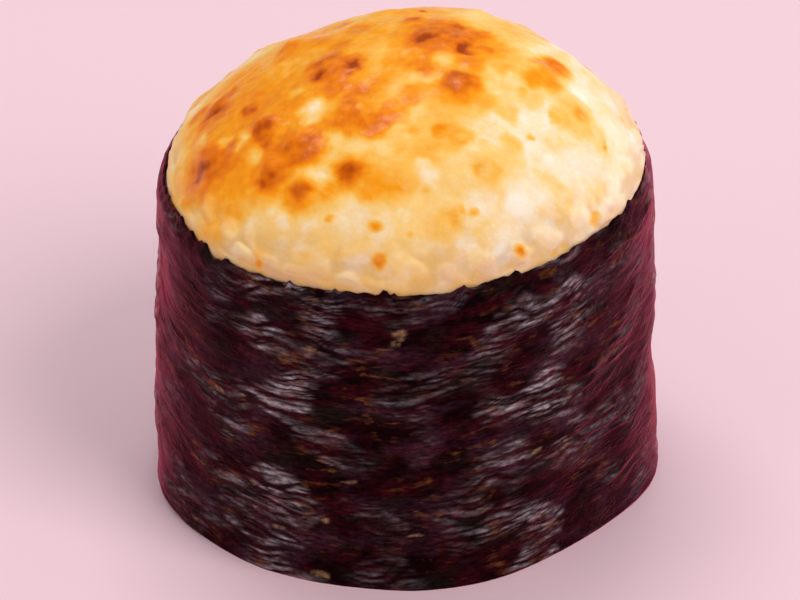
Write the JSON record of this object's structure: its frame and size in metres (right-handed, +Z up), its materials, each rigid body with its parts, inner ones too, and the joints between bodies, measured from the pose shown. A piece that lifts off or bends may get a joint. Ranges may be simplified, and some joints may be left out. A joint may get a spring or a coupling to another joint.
{
  "type": "gunkan sushi",
  "caption": "Gunkan sushi: a band of toasted seaweed round a bed of pressed rice, filled to a dome with a browned creamy topping.",
  "frame": {"origin": "middle of the footprint, on the surface that the sushi stands on", "axes": "+Z up, the front as seen in the picture faces -Y, +X to the right as seen from the front"},
  "size_m": [0.0452, 0.0458, 0.0427],
  "materials": {
    "seaweed": "satin",
    "rice": "moist",
    "baked_cream": "moist, browned in spots"
  },
  "bodies": {
    "root": {"nori_wrap": "seaweed", "rice_bed": "rice", "baked_topping": "baked_cream"}
  },
  "joints": []
}
